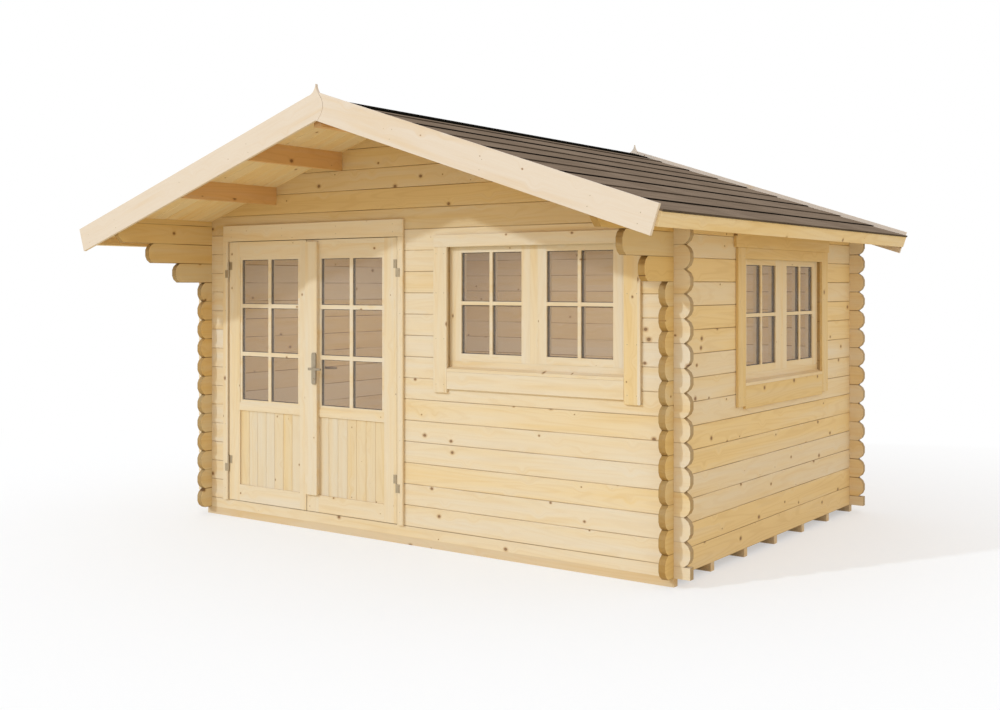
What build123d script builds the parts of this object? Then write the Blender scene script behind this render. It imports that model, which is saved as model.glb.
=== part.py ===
from build123d import *
import math
import os

# Garden house of interlocking logs with a double glazed door, two windows and
# a shingled gable roof that reaches far out over the front.
# Millimetres, +X to the right along the door front, +Y to the back, +Z up.
# The origin is on the ground under the middle of the roof.

# Walls
wall_left_of_door = 197.5
wall_between = 369
wall_right_of_window = 298.5
side_wall_front = 888
side_wall_back = 622
log_height = 133
log_thickness = 40
log_gap = 0.4
log_end = 98
end_ease_depth = 38
end_ease_height = 46
end_shoulder_depth = 12
end_shoulder_height = 20
joint_chamfer = 4
notch_depth = log_height / 4
side_courses = 15
corbel_reach_low = 322
corbel_reach_middle = 550
plate_log_height = 155.6
plate_end_cut = 45

# Bearers and floor
bearer_height = 50
bearer_width = 45
bearer_count = 7
floor_thickness = 18
floor_board_count = 30
floor_groove = 3
floor_gap = 0.6

# Roof
roof_pitch = 18.2
front_overhang = 820
back_overhang = 150
eave_overhang = 330
deck_thickness = 19
deck_board_count = 38
deck_groove = 4
shingle_courses = 9
shingle_overhang = 24
shingle_thick = 11
shingle_thin = 4
cap_width = 120
cap_thickness = 4
ridge_beam_width = 60
ridge_beam_depth = 145
purlin_width = 44
purlin_depth = 111
upper_purlin = 580
lower_purlin = 1190
barge_thickness = 20
barge_width = 157
barge_proud = 55
barge_past_boards = 5
fascia_thickness = 18
fascia_height = 75

# Door
door_opening = 1620
door_jamb = 32
door_head = 44
door_frame_depth = 70
door_stop = 12
door_gap = 5
meeting_gap = 7
meeting_offset = -17
leaf_thickness = 40
leaf_proud = 8
leaf_stile = 105
left_meeting_stile = 60
right_meeting_stile = 107
leaf_bottom_rail = 113
leaf_panel_height = 520
leaf_middle_rail = 54
leaf_top_rail = 105
cover_strip_thickness = 20
cover_strip_drop = 13
door_casing_width = 46
door_head_casing = 110
casing_thickness = 18
panel_thickness = 20
panel_setback = 10
panel_boards = 7
panel_groove = 3
glass_thickness = 4
glass_setback = 8
bead_width = 21
bar_width = 28
bar_setback = 4
seat = 0.3

# Hinges and handle
knuckle_radius = 6
pin_radius = 4
pin_play = 0.06
hinge_length = 110
hinge_plate_width = 30
hinge_plate_thickness = 2
hinge_from_bottom = 253.5
hinge_from_top = 194.5
axis_from_edge = 2.5
axis_from_wall = 15
handle_height = 1075
spindle_from_edge = 21
plate_width = 38
plate_height = 210
plate_thickness = 8
plate_corner = 8
spindle_radius = 5
spindle_play = 0.08
lever_length = 110
lever_width = 18
lever_tip_width = 13
lever_thickness = 10
lever_standoff = 42

# Windows
window_width = 1240
window_jamb = 27
window_rail = 67
window_head = 30
window_post = 56
window_frame_depth = 70
window_gap = 0.5
sash_thickness = 50
sash_setback = 18
sash_stile = 60
sash_rail = 45
sash_height = 703
sash_bar = 22
glass_edge = 8
front_window_drop = 78.5
side_window_drop = 86
window_casing_width = 104
head_lip = 40
front_head_height = 75
front_casing_drop = 130
front_apron_drop = 106
side_inner_head = 65
side_head_height = 85
side_head_overhang = 25
side_casing_drop = 120
side_apron_drop = 136
sill_nose = 18
sill_rise = 32

# Places that follow from the sizes
wall_width = wall_left_of_door + door_opening + wall_between + window_width + wall_right_of_window
wall_depth = side_wall_front + window_width + side_wall_back
half_width = wall_width / 2
roof_length = front_overhang + wall_depth + back_overhang
front_face = front_overhang - roof_length / 2
back_face = front_face + wall_depth
wall_base = bearer_height
cross_base = wall_base + log_height / 2
roof_front = -roof_length / 2 + barge_thickness + seat
roof_back = roof_length / 2 - barge_thickness - seat
pitch = math.radians(roof_pitch)
slope = math.tan(pitch)
top_cross_course = side_courses - 1
door_top = cross_base + top_cross_course * log_height
plate_bottom = wall_base + top_cross_course * log_height
ridge_height = plate_bottom + plate_log_height + half_width * slope
roof_slope_length = (half_width + eave_overhang) / math.cos(pitch)
door_left = -half_width + wall_left_of_door
door_right = door_left + door_opening
door_centre = (door_left + door_right) / 2

window_height = window_rail + sash_height + 2 * window_gap + window_head
front_window_span = (door_right + wall_between, door_right + wall_between + window_width)
front_window_top = door_top - front_window_drop
front_window_bottom = front_window_top - window_height
side_window_span = (front_face + side_wall_front, front_face + side_wall_front + window_width)
side_window_top = plate_bottom - side_window_drop
side_window_bottom = side_window_top - window_height


def roof_underside(x):
    """Height of the roof boards' underside at a distance x from the middle."""
    return ridge_height - abs(x) * slope


def block(x_span, y_span, z_span, mode=Mode.ADD):
    """A plain squared timber between two planes each way."""
    middle = [(low + high) / 2 for low, high in (x_span, y_span, z_span)]
    size = [high - low for low, high in (x_span, y_span, z_span)]
    with Locations(tuple(middle)):
        Box(*size, mode=mode)


def bar_face(u_span, v_span, mode=Mode.ADD):
    """A rectangle in the current sketch between two lines each way."""
    with Locations(((u_span[0] + u_span[1]) / 2, (v_span[0] + v_span[1]) / 2)):
        Rectangle(u_span[1] - u_span[0], v_span[1] - v_span[0], mode=mode)


def end_outline(place, outward, bottom, top, eased):
    """One end of a log's long face, from its lower edge to its upper one."""
    if not eased:
        return [(place, bottom), (place, top)]
    lower = [
        (place - outward * end_ease_depth, bottom),
        (place - outward * end_shoulder_depth, bottom + end_shoulder_height),
        (place, bottom + end_ease_height),
    ]
    upper = [(u, bottom + top - v) for u, v in reversed(lower)]
    return lower + upper


def log(plane, span, z_span, crossings=(), eased=(False, False), notch=(True, True), openings=()):
    """One wall log: a long face with eased ends, notched where the other wall crosses it."""
    start, end = span
    bottom = z_span[0] + log_gap / 2
    top = z_span[1] - log_gap / 2
    with BuildSketch(plane) as face:
        left_end = end_outline(start, -1, bottom, top, eased[0])
        right_end = end_outline(end, 1, bottom, top, eased[1])
        with BuildLine():
            Polyline(*left_end, *reversed(right_end), close=True)
        make_face()
        for place in crossings:
            notch_span = (place - log_thickness / 2 - seat, place + log_thickness / 2 + seat)
            if notch[0]:
                bar_face(notch_span, (z_span[0] - 1, bottom + notch_depth), Mode.SUBTRACT)
            if notch[1]:
                bar_face(notch_span, (top - notch_depth, z_span[1] + log_height), Mode.SUBTRACT)
        for u_span, v_span in openings:
            if v_span[0] < top and v_span[1] > bottom and u_span[0] < end and u_span[1] > start:
                bar_face(u_span, v_span, Mode.SUBTRACT)
    extrude(face.sketch, amount=log_thickness)


def trim_under_roof():
    """Cut away what stands above the underside of the roof boards."""
    reach = half_width + front_overhang
    with BuildSketch(Plane.XZ.offset(-roof_length)) as above:
        with BuildLine():
            Polyline(
                (-reach, roof_underside(reach) - seat),
                (0, ridge_height - seat),
                (reach, roof_underside(reach) - seat),
                (reach, ridge_height + reach),
                (-reach, ridge_height + reach),
                close=True,
            )
        make_face()
    extrude(above.sketch, amount=2 * roof_length, mode=Mode.SUBTRACT)


def groove_joints(plane, length, outer_face, joints):
    """Cut a V groove in a wall's outer face along every joint between its logs."""
    outside = outer_face + math.copysign(1, outer_face)
    bottom_of_groove = outer_face - math.copysign(joint_chamfer, outer_face)
    mouth = joint_chamfer + 1
    with BuildSketch(plane) as grooves:
        for joint in joints:
            Polygon(
                (outside, joint - mouth),
                (outside, joint + mouth),
                (bottom_of_groove, joint),
                align=None,
            )
    extrude(grooves.sketch, amount=length, mode=Mode.SUBTRACT)


# Bearers: seven timbers across the ground, the first and last under the gable walls
bearer_pitch = (wall_depth - bearer_width) / (bearer_count - 1)
with BuildPart() as floor_bearers:
    for number in range(bearer_count):
        bearer_front = front_face + number * bearer_pitch
        block((-half_width, half_width), (bearer_front, bearer_front + bearer_width), (0, bearer_height))

# Floor boards between the walls
inside_x = half_width - log_thickness - floor_gap
inside_y = (front_face + log_thickness + floor_gap, back_face - log_thickness - floor_gap)
with BuildPart() as floor_boards:
    block((-inside_x, inside_x), inside_y, (wall_base, wall_base + floor_thickness))
    floor_top = wall_base + floor_thickness
    with BuildSketch(Plane.XZ.offset(-inside_y[1] - 1)) as floor_grooves:
        for number in range(1, floor_board_count):
            place = -inside_x + number * 2 * inside_x / floor_board_count
            Polygon(
                (place - floor_groove, floor_top + 1),
                (place + floor_groove, floor_top + 1),
                (place, floor_top - floor_groove),
                align=None,
            )
    extrude(floor_grooves.sketch, amount=inside_y[1] - inside_y[0] + 2, mode=Mode.SUBTRACT)

# Gable walls: a half log first, so that their joints lie half a log from the side walls'
cross_reach = half_width + log_end
cross_places = (-half_width + log_thickness / 2, half_width - log_thickness / 2)
cross_inside = half_width - log_thickness - seat
cross_joints = [cross_base + course * log_height for course in range(top_cross_course + 1)]
gable_courses = int((ridge_height - door_top) / log_height)
gable_joints = [door_top + course * log_height for course in range(gable_courses)]
groove_plane = Plane.YZ.offset(-cross_inside)
front_plane = Plane.XZ.offset(-front_face - log_thickness)
back_plane = Plane.XZ.offset(-back_face)
front_window_hole = (front_window_span, (front_window_bottom, front_window_top))

with BuildPart() as front_sill_log:
    log(
        front_plane,
        (-cross_reach, cross_reach),
        (wall_base, cross_base),
        crossings=cross_places,
        notch=(False, True),
    )

with BuildPart() as front_wall_left:
    for course in range(top_cross_course):
        low = cross_base + course * log_height
        log(
            front_plane,
            (-cross_reach, door_left - seat),
            (low, low + log_height),
            crossings=cross_places[:1],
            eased=(True, False),
        )
    groove_joints(groove_plane, 2 * cross_inside, front_face, cross_joints)

with BuildPart() as front_wall_right:
    for course in range(top_cross_course):
        low = cross_base + course * log_height
        log(
            front_plane,
            (door_right + seat, cross_reach),
            (low, low + log_height),
            crossings=cross_places[1:],
            eased=(False, True),
            openings=[front_window_hole],
        )
    groove_joints(groove_plane, 2 * cross_inside, front_face, cross_joints)

with BuildPart() as back_wall:
    log(
        back_plane,
        (-cross_reach, cross_reach),
        (wall_base, cross_base),
        crossings=cross_places,
        notch=(False, True),
    )
    for course in range(top_cross_course):
        low = cross_base + course * log_height
        log(
            back_plane,
            (-cross_reach, cross_reach),
            (low, low + log_height),
            crossings=cross_places,
            eased=(True, True),
        )
    groove_joints(groove_plane, 2 * cross_inside, back_face, cross_joints)

# Gables: the logs over the door go on up to the ridge, cut to the slope and let in round the beams
ridge_beam_bottom = ridge_height - ridge_beam_depth
upper_purlin_bottom = roof_underside(upper_purlin) - purlin_depth
lower_purlin_bottom = roof_underside(lower_purlin) - purlin_depth
beam_seats = [((-ridge_beam_width / 2 - seat, ridge_beam_width / 2 + seat), ridge_beam_bottom)]
for side in (-1, 1):
    for place, bottom in ((upper_purlin, upper_purlin_bottom), (lower_purlin, lower_purlin_bottom)):
        centre = side * place
        beam_seats.append(((centre - purlin_width / 2 - seat, centre + purlin_width / 2 + seat), bottom))
beam_holes = [(u_span, (bottom - seat, ridge_height + log_height)) for u_span, bottom in beam_seats]


def gable(plane, outer_face):
    """The logs from the door's head to the ridge."""
    log(plane, (-cross_reach, cross_reach), (door_top, door_top + log_height), crossings=cross_places)
    for low in gable_joints[1:]:
        high = low + log_height if low < gable_joints[-1] else ridge_height + log_height
        reach = (ridge_height - low) / slope
        log(plane, (-reach, reach), (low, high), openings=beam_holes)
    trim_under_roof()
    groove_joints(groove_plane, 2 * cross_inside, outer_face, gable_joints)


with BuildPart() as front_gable:
    gable(front_plane, front_face)

with BuildPart() as back_gable:
    gable(back_plane, back_face)

# Side walls: full logs from the bearers up, the top three reaching out under the front roof
side_reach = (front_face - log_end, back_face + log_end)
side_places = (front_face + log_thickness / 2, back_face - log_thickness / 2)
side_inside = (front_face + log_thickness + seat, back_face - log_thickness - seat)
side_joints = [wall_base + course * log_height for course in range(1, side_courses)]
side_groove_plane = Plane.XZ.offset(-side_inside[1])
side_window_hole = (side_window_span, (side_window_bottom, side_window_top))


def side_wall(plane, outer_face, openings):
    """A side wall of full logs with two corbel logs and a bevelled plate log on top."""
    for course in range(side_courses - 1):
        low = wall_base + course * log_height
        front_end = side_reach[0]
        if course == side_courses - 3:
            front_end = front_face - corbel_reach_low
        if course == side_courses - 2:
            front_end = front_face - corbel_reach_middle
        log(
            plane,
            (front_end, side_reach[1]),
            (low, low + log_height),
            crossings=side_places,
            eased=(True, True),
            openings=openings,
        )
    across = sorted((outer_face, outer_face - math.copysign(log_thickness, outer_face)))
    beyond = (across[0] - 1, across[1] + 1)
    block(across, (roof_front, roof_back), (plate_bottom + log_gap / 2, ridge_height))
    for place in side_places:
        notch_span = (place - log_thickness / 2 - seat, place + log_thickness / 2 + seat)
        lower_cut = (plate_bottom, plate_bottom + log_gap / 2 + notch_depth)
        upper_cut = (plate_bottom + 3 * notch_depth - log_gap / 2, ridge_height + 1)
        block(beyond, notch_span, lower_cut, mode=Mode.SUBTRACT)
        block(beyond, notch_span, upper_cut, mode=Mode.SUBTRACT)
    for end, inward in ((roof_front, 1), (roof_back, -1)):
        with BuildSketch(plane) as corner:
            Polygon(
                (end - inward, plate_bottom),
                (end + inward * plate_end_cut, plate_bottom),
                (end - inward, plate_bottom + plate_end_cut),
                align=None,
            )
        extrude(corner.sketch, amount=log_thickness, mode=Mode.SUBTRACT)
    trim_under_roof()
    groove_joints(side_groove_plane, side_inside[1] - side_inside[0], outer_face, side_joints)


with BuildPart() as left_wall:
    side_wall(Plane.YZ.offset(-half_width), -half_width, [])

with BuildPart() as right_wall:
    side_wall(Plane.YZ.offset(half_width - log_thickness), half_width, [side_window_hole])


# Roof timbers: a ridge beam and four purlins, bevelled to the slope
with BuildPart() as ridge_beam:
    block(
        (-ridge_beam_width / 2, ridge_beam_width / 2),
        (roof_front, roof_back),
        (ridge_beam_bottom, ridge_height),
    )
    trim_under_roof()

with BuildPart() as purlins:
    for side in (-1, 1):
        for place, bottom in ((upper_purlin, upper_purlin_bottom), (lower_purlin, lower_purlin_bottom)):
            centre = side * place
            across = (centre - purlin_width / 2, centre + purlin_width / 2)
            block(across, (roof_front, roof_back), (bottom, ridge_height))
    trim_under_roof()


def on_slope(side, down, out):
    """A point seen from the front: down the slope from the ridge and out from the boards' underside."""
    x = down * math.cos(pitch) + out * math.sin(pitch)
    z = ridge_height - down * math.sin(pitch) + out * math.cos(pitch)
    return (side * x, z)


def roof_boards(side):
    """Boards running from the ridge to the eave with V joints underneath, mitred at the ridge."""
    beyond_ridge = deck_thickness
    start = Plane(
        origin=(-side * beyond_ridge * math.cos(pitch), 0, ridge_height + beyond_ridge * math.sin(pitch)),
        x_dir=(0, side, 0),
        z_dir=(side * math.cos(pitch), 0, -math.sin(pitch)),
    )
    with BuildSketch(start) as section:
        bar_face((roof_front, roof_back), (0, deck_thickness))
        for number in range(1, deck_board_count):
            joint = roof_front + number * (roof_back - roof_front) / deck_board_count
            Polygon(
                (joint - deck_groove - 1, -1),
                (joint + deck_groove + 1, -1),
                (joint, deck_groove),
                align=None,
                mode=Mode.SUBTRACT,
            )
    extrude(section.sketch, amount=beyond_ridge + roof_slope_length)
    cut_past_ridge(side)


def cut_past_ridge(side):
    """Cut away what reaches past the middle of the ridge."""
    across = sorted((side * seat / 2, -side * wall_width))
    block(across, (-roof_length, roof_length), (wall_base, 2 * ridge_height), mode=Mode.SUBTRACT)


with BuildPart() as left_roof_boards:
    roof_boards(-1)

with BuildPart() as right_roof_boards:
    roof_boards(1)

# Shingles: courses that overlap like steps, thick at the lower edge
shingle_length = roof_slope_length + shingle_overhang
shingle_course = shingle_length / shingle_courses
shingle_seat = deck_thickness + seat
shingle_plane = Plane.XZ.offset(-roof_back)


def shingle_points(side):
    """The outline of one side's shingles seen from the front."""
    points = [on_slope(side, -shingle_seat, shingle_seat), on_slope(side, shingle_length, shingle_seat)]
    for course in range(shingle_courses):
        lower = shingle_length - course * shingle_course
        upper = lower - shingle_course
        if course == shingle_courses - 1:
            upper = -shingle_seat
        points.append(on_slope(side, lower, shingle_seat + shingle_thick))
        points.append(on_slope(side, upper, shingle_seat + shingle_thin))
    return points


def shingles(side):
    """One side's shingles, from behind the front bargeboard to the back one."""
    with BuildSketch(shingle_plane) as section:
        with BuildLine():
            Polyline(*shingle_points(side), close=True)
        make_face()
    extrude(section.sketch, amount=roof_back - roof_front)
    cut_past_ridge(side)


with BuildPart() as left_shingles:
    shingles(-1)

with BuildPart() as right_shingles:
    shingles(1)

# Ridge cap: a strip folded over the ridge, as steep as the top course
top_course_rise = (shingle_thick - shingle_thin) / (shingle_course + shingle_seat)
cap_seat = shingle_seat + shingle_thin + seat
cap_edge = cap_seat + top_course_rise * (cap_width + shingle_seat)
cap_peak = ridge_height + (cap_seat + top_course_rise * shingle_seat) / math.cos(pitch)
with BuildPart() as ridge_cap:
    with BuildSketch(shingle_plane) as cap_face:
        with BuildLine():
            Polyline(
                on_slope(-1, cap_width, cap_edge),
                (0, cap_peak),
                on_slope(1, cap_width, cap_edge),
                on_slope(1, cap_width, cap_edge + cap_thickness),
                (0, cap_peak + cap_thickness / math.cos(pitch)),
                on_slope(-1, cap_width, cap_edge + cap_thickness),
                close=True,
            )
        make_face()
    extrude(cap_face.sketch, amount=roof_back - roof_front)

# Bargeboards: the left one ends in the finial, the right one is cut to its curve
barge_peak = ridge_height + barge_proud
barge_drop = barge_width / math.cos(pitch)
barge_out = barge_proud * math.cos(pitch)
barge_end_down = roof_slope_length + barge_past_boards
finial_reach = 60
finial_tip = (0, barge_peak + 45)
finial_shoulder = (-finial_reach, barge_peak - finial_reach * slope)
finial_hollow = (-17, barge_peak + 3)
seam_foot = (13, barge_peak - barge_drop - 13 * slope)
seam_bends = [(24, barge_peak - 13), (50, barge_peak - 53), (57, barge_peak - 87), (42, barge_peak - 131)]
seam = [finial_tip, *seam_bends, seam_foot]
seam_gap = 2.5
front_barge_plane = Plane.XZ.offset(roof_length / 2 - barge_thickness)
back_barge_plane = Plane.XZ.offset(-roof_length / 2)


def barge_end(side):
    """The upper and lower corner of a bargeboard's square-cut lower end."""
    return on_slope(side, barge_end_down, barge_out), on_slope(side, barge_end_down, barge_out - barge_width)


def left_bargeboard(plane):
    """The left board with the finial's point over the ridge."""
    upper, lower = barge_end(-1)
    with BuildSketch(plane) as face:
        with BuildLine():
            Spline(*seam)
            Polyline(seam[-1], (0, barge_peak - barge_drop), lower, upper, finial_shoulder)
            ThreePointArc(finial_shoulder, finial_hollow, finial_tip)
        make_face()
    extrude(face.sketch, amount=barge_thickness)


def right_bargeboard(plane):
    """The right board, cut to the left one's curve."""
    upper, lower = barge_end(1)
    cut = [(x + seam_gap, z) for x, z in seam]
    with BuildSketch(plane) as face:
        with BuildLine():
            Polyline((0, barge_peak), upper, lower, (0, barge_peak - barge_drop), close=True)
        make_face()
        with BuildLine():
            Spline(*cut)
            Polyline(
                cut[-1],
                (cut[-1][0], cut[-1][1] - barge_width),
                (-barge_width, cut[-1][1] - barge_width),
                (-barge_width, cut[0][1]),
                cut[0],
            )
        make_face(mode=Mode.SUBTRACT)
    extrude(face.sketch, amount=barge_thickness)


with BuildPart() as front_left_bargeboard:
    left_bargeboard(front_barge_plane)

with BuildPart() as front_right_bargeboard:
    right_bargeboard(front_barge_plane)

with BuildPart() as back_left_bargeboard:
    left_bargeboard(back_barge_plane)

with BuildPart() as back_right_bargeboard:
    right_bargeboard(back_barge_plane)

# Fascias: boards square to the slope along both eaves
fascia_top = deck_thickness
fascia_inner = roof_slope_length + seat
with BuildPart() as eave_fascias:
    for side in (-1, 1):
        with BuildSketch(shingle_plane) as fascia_face:
            with BuildLine():
                Polyline(
                    on_slope(side, fascia_inner, fascia_top),
                    on_slope(side, fascia_inner + fascia_thickness, fascia_top),
                    on_slope(side, fascia_inner + fascia_thickness, fascia_top - fascia_height),
                    on_slope(side, fascia_inner, fascia_top - fascia_height),
                    close=True,
                )
            make_face()
        extrude(fascia_face.sketch, amount=roof_back - roof_front)

# Wall planes for doors and windows: along the wall, up it and out from its outer face
front_wall_plane = Plane.XZ.offset(-front_face)
right_wall_plane = Plane.YZ.offset(half_width)


def slab(plane, u_span, v_span, w_span, mode=Mode.ADD):
    """A squared piece on a wall plane: along the wall, up it and out from it."""
    with BuildSketch(plane.offset(w_span[0])) as face:
        bar_face(u_span, v_span)
    extrude(face.sketch, amount=w_span[1] - w_span[0], mode=mode)


def grown(span, by):
    """A span made longer at both ends."""
    return (span[0] - by, span[1] + by)


def panes(u_span, v_span, columns, rows, bar, cross_bar):
    """Cut the openings of a glazed light into the current sketch."""
    pane_width = (u_span[1] - u_span[0] - (columns - 1) * bar) / columns
    pane_height = (v_span[1] - v_span[0] - (rows - 1) * cross_bar) / rows
    for column in range(columns):
        u_low = u_span[0] + column * (pane_width + bar)
        for row in range(rows):
            v_low = v_span[0] + row * (pane_height + cross_bar)
            bar_face((u_low, u_low + pane_width), (v_low, v_low + pane_height), Mode.SUBTRACT)


# Door frame: jambs, head, stops and a low threshold, as deep as the logs and more
jamb_left = door_left + door_jamb
jamb_right = door_right - door_jamb
leaf_face = leaf_proud
leaf_back = leaf_face - leaf_thickness
leaf_bottom = cross_base + door_gap
head_bottom = door_top - door_head
leaf_top = head_bottom - door_gap
frame_depth = (-door_frame_depth, 0)
stop_depth = (-door_frame_depth, leaf_back - door_gap)
with BuildPart() as door_frame:
    slab(front_wall_plane, (door_left, jamb_left), (cross_base + seat, head_bottom - seat), frame_depth)
    slab(front_wall_plane, (jamb_right, door_right), (cross_base + seat, head_bottom - seat), frame_depth)
    slab(front_wall_plane, (door_left, door_right), (head_bottom, door_top - seat), frame_depth)
    stop_top = head_bottom - seat
    stop_left = (jamb_left + seat, jamb_left + seat + door_stop)
    stop_right = (jamb_right - seat - door_stop, jamb_right - seat)
    slab(front_wall_plane, stop_left, (cross_base + seat, stop_top), stop_depth)
    slab(front_wall_plane, stop_right, (cross_base + seat, stop_top), stop_depth)
    between_stops = (stop_left[1] + seat, stop_right[0] - seat)
    slab(front_wall_plane, between_stops, (stop_top - door_stop, stop_top), stop_depth)
    slab(front_wall_plane, between_stops, (cross_base + seat, leaf_bottom + door_stop), stop_depth)

# Door casing: narrow boards up the sides and a broad one over the top
casing_face = (seat, seat + casing_thickness)
casing_inner = door_opening / 2 - door_jamb + door_gap
casing_outer = casing_inner + door_casing_width
with BuildPart() as door_casing:
    for side in (-1, 1):
        across = sorted((door_centre + side * casing_inner, door_centre + side * casing_outer))
        slab(front_wall_plane, across, (cross_base + seat, head_bottom - seat), casing_face)
    across = (door_centre - casing_outer, door_centre + casing_outer)
    slab(front_wall_plane, across, (head_bottom, head_bottom + door_head_casing), casing_face)

# Door leaves: a framed panel of boards below and a barred pane above
leaf_reach = door_opening / 2 - door_jamb - door_gap
panel_bottom = leaf_bottom + leaf_bottom_rail
panel_top = panel_bottom + leaf_panel_height
glass_bottom = panel_top + leaf_middle_rail
glass_top = leaf_top - leaf_top_rail
glass_depth = (leaf_face - glass_setback - glass_thickness, leaf_face - glass_setback)
outer_bars = (glass_depth[1] + seat, leaf_face - bar_setback)
inner_bars = (leaf_back + bar_setback, glass_depth[0] - seat)
panel_depth = (leaf_face - panel_setback - panel_thickness, leaf_face - panel_setback)
strip_face = leaf_face + cover_strip_thickness


def leaf_span(side):
    """Where a leaf stands along the wall."""
    near = door_centre + meeting_offset + side * meeting_gap / 2
    return tuple(sorted((near, door_centre + side * leaf_reach)))


def light_span(side):
    """Where a leaf's panel and pane stand between its stiles."""
    low, high = leaf_span(side)
    if side < 0:
        return (low + leaf_stile, high - left_meeting_stile)
    return (low + right_meeting_stile, high - leaf_stile)


def door_leaf(side):
    """The frame of one leaf with the beads and bars on both faces of its pane."""
    light = light_span(side)
    glass_light = (glass_bottom, glass_top)
    with BuildSketch(front_wall_plane.offset(leaf_back)) as face:
        bar_face(leaf_span(side), (leaf_bottom, leaf_top))
        bar_face(light, (panel_bottom, panel_top), Mode.SUBTRACT)
        bar_face(light, glass_light, Mode.SUBTRACT)
    extrude(face.sketch, amount=leaf_thickness)
    for w_span in (outer_bars, inner_bars):
        with BuildSketch(front_wall_plane.offset(w_span[0])) as bars:
            bar_face(light, glass_light)
            panes(grown(light, -bead_width), grown(glass_light, -bead_width), 2, 3, bar_width, bar_width)
        extrude(bars.sketch, amount=w_span[1] - w_span[0])


def door_panel(side):
    """Upright boards with V joints on both faces."""
    across = grown(light_span(side), -seat)
    upright = (panel_bottom + seat, panel_top - seat)
    slab(front_wall_plane, across, upright, panel_depth)
    with BuildSketch(Plane.XY.offset(panel_bottom - 1)) as grooves:
        for number in range(1, panel_boards):
            joint = across[0] + number * (across[1] - across[0]) / panel_boards
            for face, inward in ((front_face - panel_depth[1], 1), (front_face - panel_depth[0], -1)):
                Polygon(
                    (joint - panel_groove - 1, face - inward),
                    (joint + panel_groove + 1, face - inward),
                    (joint, face + inward * panel_groove),
                    align=None,
                )
    extrude(grooves.sketch, amount=leaf_panel_height + 2, mode=Mode.SUBTRACT)


def door_glass(side):
    """The pane of one leaf."""
    slab(front_wall_plane, grown(light_span(side), -seat), (glass_bottom + seat, glass_top - seat), glass_depth)


spindle_x = light_span(1)[0] - spindle_from_edge
spindle_hole = spindle_radius + spindle_play

with BuildPart() as left_door_leaf:
    door_leaf(-1)

with BuildPart() as left_door_panel:
    door_panel(-1)

with BuildPart() as left_door_glass:
    door_glass(-1)

with BuildPart() as right_door_leaf:
    door_leaf(1)
    strip_across = (leaf_span(1)[0], light_span(1)[0])
    strip_upright = (panel_bottom, leaf_top - cover_strip_drop)
    slab(front_wall_plane, strip_across, strip_upright, (leaf_face, strip_face))
    with BuildSketch(front_wall_plane.offset(leaf_back - 1)) as leaf_hole:
        with Locations((spindle_x, handle_height)):
            Circle(spindle_hole)
    extrude(leaf_hole.sketch, amount=strip_face - leaf_back + 2, mode=Mode.SUBTRACT)

with BuildPart() as right_door_panel:
    door_panel(1)

with BuildPart() as right_door_glass:
    door_glass(1)

# Handle: a long plate on each face and a lever on one spindle through the leaf
with BuildPart() as handle_plates:
    for w_low in (strip_face + seat, leaf_back - seat - plate_thickness):
        with BuildSketch(front_wall_plane.offset(w_low)) as plate_face:
            with Locations((spindle_x, handle_height)):
                Rectangle(plate_width, plate_height)
            chamfer(plate_face.vertices(), plate_corner)
            with Locations((spindle_x, handle_height)):
                Circle(spindle_hole, mode=Mode.SUBTRACT)
        extrude(plate_face.sketch, amount=plate_thickness)

grips = (strip_face + lever_standoff, leaf_back - lever_standoff - lever_thickness)
grip_start = spindle_x - lever_width / 2
grip_end = grip_start + lever_length
with BuildPart() as door_lever:
    with BuildSketch(front_wall_plane.offset(grips[1])) as spindle_face:
        with Locations((spindle_x, handle_height)):
            Circle(spindle_radius)
    extrude(spindle_face.sketch, amount=grips[0] - grips[1] + lever_thickness / 2)
    for w_low in grips:
        with BuildSketch(front_wall_plane.offset(w_low)) as grip_face:
            Polygon(
                (grip_start, handle_height - lever_width / 2),
                (grip_end, handle_height - lever_tip_width / 2),
                (grip_end, handle_height + lever_tip_width / 2),
                (grip_start, handle_height + lever_width / 2),
                align=None,
            )
            chamfer(grip_face.vertices(), lever_tip_width / 4)
        extrude(grip_face.sketch, amount=lever_thickness)

# Hinges: a barrel and plate on the casing with the pin, and a barrel and plate on the leaf
axis_y = front_face - axis_from_wall
hinge_half = hinge_length / 2
hinge_heights = (leaf_bottom + hinge_from_bottom, leaf_top - hinge_from_top)
barrel_gap = 0.5
casing_front = front_face - casing_face[1]
leaf_front = front_face - leaf_face
frame_plate = (casing_front - seat - hinge_plate_thickness, casing_front - seat)
leaf_plate = (leaf_front - seat - hinge_plate_thickness, leaf_front - seat)


def upright_pin(x, z_span, radius, mode=Mode.ADD):
    """A round piece standing on the hinge axis."""
    with Locations((x, axis_y, (z_span[0] + z_span[1]) / 2)):
        Cylinder(radius, z_span[1] - z_span[0], mode=mode)


def hinge_axis(side):
    """Where a leaf's hinge axis stands along the wall."""
    return door_centre + side * (door_opening / 2 - door_jamb - axis_from_edge)


def leaf_hinges(side):
    """The upper barrels and their plates on the leaf."""
    axis_x = hinge_axis(side)
    for middle in hinge_heights:
        z_span = (middle + barrel_gap, middle + hinge_half)
        upright_pin(axis_x, z_span, knuckle_radius)
        block(sorted((axis_x, axis_x - side * hinge_plate_width)), leaf_plate, z_span)
        upright_pin(axis_x, grown(z_span, 1), pin_radius + pin_play, Mode.SUBTRACT)


with BuildPart() as door_hinges:
    for side in (-1, 1):
        axis_x = hinge_axis(side)
        for middle in hinge_heights:
            z_span = (middle - hinge_half, middle - barrel_gap)
            upright_pin(axis_x, z_span, knuckle_radius)
            block(sorted((axis_x, axis_x + side * hinge_plate_width)), frame_plate, z_span)
            upright_pin(axis_x, (middle - hinge_half, middle + hinge_half - 1), pin_radius)

with BuildPart() as left_door_hinges:
    leaf_hinges(-1)

with BuildPart() as right_door_hinges:
    leaf_hinges(1)

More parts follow.
